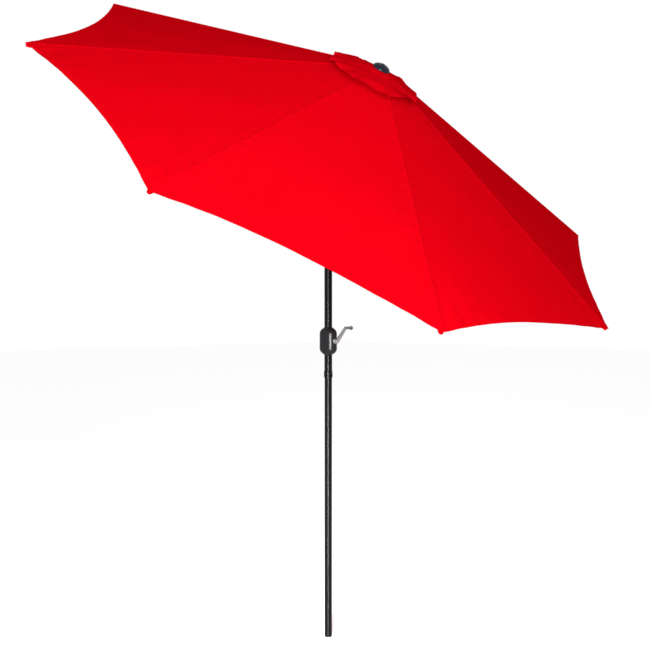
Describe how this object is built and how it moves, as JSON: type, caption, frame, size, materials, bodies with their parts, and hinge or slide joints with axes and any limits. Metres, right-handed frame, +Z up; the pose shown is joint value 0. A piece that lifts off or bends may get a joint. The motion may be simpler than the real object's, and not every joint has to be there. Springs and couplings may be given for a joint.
{
  "type": "patio umbrella",
  "caption": "Crank-lift market umbrella with a tilting mast, folding ribs and struts, a red vented canopy and a two-piece pole for a separate base.",
  "frame": {"origin": "centre of the pole's foot", "axes": "+Z up the pole, +X towards the side the canopy tilts to, which is also the crank's side"},
  "size_m": [1.9447, 2.4454, 2.8222],
  "materials": {
    "pole_metal": "semi-gloss near-black coating",
    "frame_metal": "satin near-black coating",
    "black_plastic": "matt black",
    "grey_plastic": "matt grey",
    "bare_metal": "satin zinc",
    "light_plastic": "matt white",
    "canopy_fabric": "plain woven bright red"
  },
  "bodies": {
    "lower_pole": {"lower_pole": "pole_metal", "foot_cap": "black_plastic", "locator_rivet": "bare_metal"},
    "upper_pole": {"upper_pole": "pole_metal", "pole_collar": "black_plastic", "housing_front": "black_plastic", "housing_rear": "black_plastic", "housing_screws": "bare_metal", "crank_bush": "bare_metal", "brake_spring": "bare_metal", "tilt_socket": "black_plastic", "tilt_pin": "bare_metal", "button_spring": "bare_metal"},
    "crank": {"crank_shaft": "bare_metal", "cord_drum": "light_plastic", "crank_arm": "bare_metal", "grip_pin": "bare_metal"},
    "grip": {"crank_grip": "black_plastic"},
    "button": {"tilt_button": "black_plastic"},
    "mast": {"mast_tube": "pole_metal", "tilt_head": "black_plastic", "crown": "black_plastic", "crown_pins": "bare_metal", "finial": "black_plastic", "vent_top": "canopy_fabric", "pulley_pin": "bare_metal"},
    "pulley": {"pulley": "light_plastic"},
    "runner": {"runner": "black_plastic"},
    "rib_1": {"rib_1": "frame_metal", "rib_tip_1": "grey_plastic", "canopy_gore_1": "canopy_fabric"},
    "strut_1": {"strut_1": "frame_metal"},
    "rib_2": {"rib_2": "frame_metal", "rib_tip_2": "grey_plastic", "canopy_gore_2": "canopy_fabric"},
    "strut_2": {"strut_2": "frame_metal"},
    "rib_3": {"rib_3": "frame_metal", "rib_tip_3": "grey_plastic", "canopy_gore_3": "canopy_fabric"},
    "strut_3": {"strut_3": "frame_metal"},
    "rib_4": {"rib_4": "frame_metal", "rib_tip_4": "grey_plastic", "canopy_gore_4": "canopy_fabric"},
    "strut_4": {"strut_4": "frame_metal"},
    "rib_5": {"rib_5": "frame_metal", "rib_tip_5": "grey_plastic", "canopy_gore_5": "canopy_fabric"},
    "strut_5": {"strut_5": "frame_metal"},
    "rib_6": {"rib_6": "frame_metal", "rib_tip_6": "grey_plastic", "canopy_gore_6": "canopy_fabric"},
    "strut_6": {"strut_6": "frame_metal"},
    "rib_7": {"rib_7": "frame_metal", "rib_tip_7": "grey_plastic", "canopy_gore_7": "canopy_fabric"},
    "strut_7": {"strut_7": "frame_metal"},
    "rib_8": {"rib_8": "frame_metal", "rib_tip_8": "grey_plastic", "canopy_gore_8": "canopy_fabric"},
    "strut_8": {"strut_8": "frame_metal"}
  },
  "joints": [
    {"name": "pole_joint", "type": "slide", "parent": "lower_pole", "child": "upper_pole", "axis": [0, 0, 1], "range_m": [0, 0.09]},
    {"name": "crank_turn", "type": "hinge", "parent": "upper_pole", "child": "crank", "pos_m": [0.048, 0, 1.277], "axis": [1, 0, 0], "range_deg": [0, 2991.5]},
    {"name": "grip_spin", "type": "hinge", "parent": "crank", "child": "grip", "pos_m": [0.08, 0.05085, 1.33348], "axis": [1, 0, 0], "continuous": true},
    {"name": "tilt_button_press", "type": "slide", "parent": "upper_pole", "child": "button", "axis": [-1, 0, 0], "range_m": [0, 0.003], "stiffness_N_per_m": 400, "springref_m": -0.004},
    {"name": "tilt_hinge", "type": "hinge", "parent": "upper_pole", "child": "mast", "pos_m": [0, 0, 1.985], "axis": [0, 1, 0], "range_deg": [-37.4, 0]},
    {"name": "runner_slide", "type": "slide", "parent": "mast", "child": "runner", "axis": [0.6074, 0, 0.7944], "range_m": [-0.73083, 0]},
    {"name": "pulley_turn", "type": "hinge", "parent": "mast", "child": "pulley", "pos_m": [0.27312, 0, 2.34222], "axis": [0, 1, 0], "range_deg": [0, 3490]},
    {"name": "rib_hinge_1", "type": "hinge", "parent": "mast", "child": "rib_1", "pos_m": [0.3412, 0.0222, 2.34304], "axis": [-0.304, 0.9239, 0.2324], "range_deg": [0, 67.21], "deforming": ["canopy_gore_1"]},
    {"name": "strut_hinge_1", "type": "hinge", "parent": "rib_1", "child": "strut_1", "pos_m": [0.612, 0.21663, 1.92438], "axis": [-0.304, 0.9239, 0.2324], "range_deg": [-134.42, 0]},
    {"name": "rib_hinge_2", "type": "hinge", "parent": "mast", "child": "rib_2", "pos_m": [0.31626, 0.05359, 2.36211], "axis": [-0.7339, 0.3827, 0.5611], "range_deg": [0, 67.21], "deforming": ["canopy_gore_2"]},
    {"name": "strut_hinge_2", "type": "hinge", "parent": "rib_2", "child": "strut_2", "pos_m": [0.36862, 0.523, 2.11045], "axis": [-0.7339, 0.3827, 0.5611], "range_deg": [-134.42, 0]},
    {"name": "rib_hinge_3", "type": "hinge", "parent": "mast", "child": "rib_3", "pos_m": [0.28099, 0.05359, 2.38907], "axis": [-0.7339, -0.3827, 0.5611], "range_deg": [0, 67.21], "deforming": ["canopy_gore_3"]},
    {"name": "strut_hinge_3", "type": "hinge", "parent": "rib_3", "child": "strut_3", "pos_m": [0.02442, 0.523, 2.37361], "axis": [-0.7339, -0.3827, 0.5611], "range_deg": [-134.42, 0]},
    {"name": "rib_hinge_4", "type": "hinge", "parent": "mast", "child": "rib_4", "pos_m": [0.25606, 0.0222, 2.40813], "axis": [-0.304, -0.9239, 0.2324], "range_deg": [0, 67.21], "deforming": ["canopy_gore_4"]},
    {"name": "strut_hinge_4", "type": "hinge", "parent": "rib_4", "child": "strut_4", "pos_m": [-0.21896, 0.21663, 2.55969], "axis": [-0.304, -0.9239, 0.2324], "range_deg": [-134.42, 0]},
    {"name": "rib_hinge_5", "type": "hinge", "parent": "mast", "child": "rib_5", "pos_m": [0.25606, -0.0222, 2.40813], "axis": [0.304, -0.9239, -0.2324], "range_deg": [0, 67.21], "deforming": ["canopy_gore_5"]},
    {"name": "strut_hinge_5", "type": "hinge", "parent": "rib_5", "child": "strut_5", "pos_m": [-0.21896, -0.21663, 2.55969], "axis": [0.304, -0.9239, -0.2324], "range_deg": [-134.42, 0]},
    {"name": "rib_hinge_6", "type": "hinge", "parent": "mast", "child": "rib_6", "pos_m": [0.28099, -0.05359, 2.38907], "axis": [0.7339, -0.3827, -0.5611], "range_deg": [0, 67.21], "deforming": ["canopy_gore_6"]},
    {"name": "strut_hinge_6", "type": "hinge", "parent": "rib_6", "child": "strut_6", "pos_m": [0.02442, -0.523, 2.37361], "axis": [0.7339, -0.3827, -0.5611], "range_deg": [-134.42, 0]},
    {"name": "rib_hinge_7", "type": "hinge", "parent": "mast", "child": "rib_7", "pos_m": [0.31626, -0.05359, 2.36211], "axis": [0.7339, 0.3827, -0.5611], "range_deg": [0, 67.21], "deforming": ["canopy_gore_7"]},
    {"name": "strut_hinge_7", "type": "hinge", "parent": "rib_7", "child": "strut_7", "pos_m": [0.36862, -0.523, 2.11045], "axis": [0.7339, 0.3827, -0.5611], "range_deg": [-134.42, 0]},
    {"name": "rib_hinge_8", "type": "hinge", "parent": "mast", "child": "rib_8", "pos_m": [0.3412, -0.0222, 2.34304], "axis": [0.304, 0.9239, -0.2324], "range_deg": [0, 67.21], "deforming": ["canopy_gore_8"]},
    {"name": "strut_hinge_8", "type": "hinge", "parent": "rib_8", "child": "strut_8", "pos_m": [0.612, -0.21663, 1.92438], "axis": [0.304, 0.9239, -0.2324], "range_deg": [-134.42, 0]}
  ],
  "couplings": [
    {"joint": "crank_turn", "follows": "runner_slide", "rad_per_m": -71.429},
    {"joint": "pulley_turn", "follows": "runner_slide", "rad_per_m": -83.333},
    {"joint": "rib_hinge_1", "follows": "runner_slide", "rad_per_m": -1.6046},
    {"joint": "strut_hinge_1", "follows": "runner_slide", "rad_per_m": 3.2092},
    {"joint": "rib_hinge_2", "follows": "runner_slide", "rad_per_m": -1.6046},
    {"joint": "strut_hinge_2", "follows": "runner_slide", "rad_per_m": 3.2092},
    {"joint": "rib_hinge_3", "follows": "runner_slide", "rad_per_m": -1.6046},
    {"joint": "strut_hinge_3", "follows": "runner_slide", "rad_per_m": 3.2092},
    {"joint": "rib_hinge_4", "follows": "runner_slide", "rad_per_m": -1.6046},
    {"joint": "strut_hinge_4", "follows": "runner_slide", "rad_per_m": 3.2092},
    {"joint": "rib_hinge_5", "follows": "runner_slide", "rad_per_m": -1.6046},
    {"joint": "strut_hinge_5", "follows": "runner_slide", "rad_per_m": 3.2092},
    {"joint": "rib_hinge_6", "follows": "runner_slide", "rad_per_m": -1.6046},
    {"joint": "strut_hinge_6", "follows": "runner_slide", "rad_per_m": 3.2092},
    {"joint": "rib_hinge_7", "follows": "runner_slide", "rad_per_m": -1.6046},
    {"joint": "strut_hinge_7", "follows": "runner_slide", "rad_per_m": 3.2092},
    {"joint": "rib_hinge_8", "follows": "runner_slide", "rad_per_m": -1.6046},
    {"joint": "strut_hinge_8", "follows": "runner_slide", "rad_per_m": 3.2092}
  ]
}
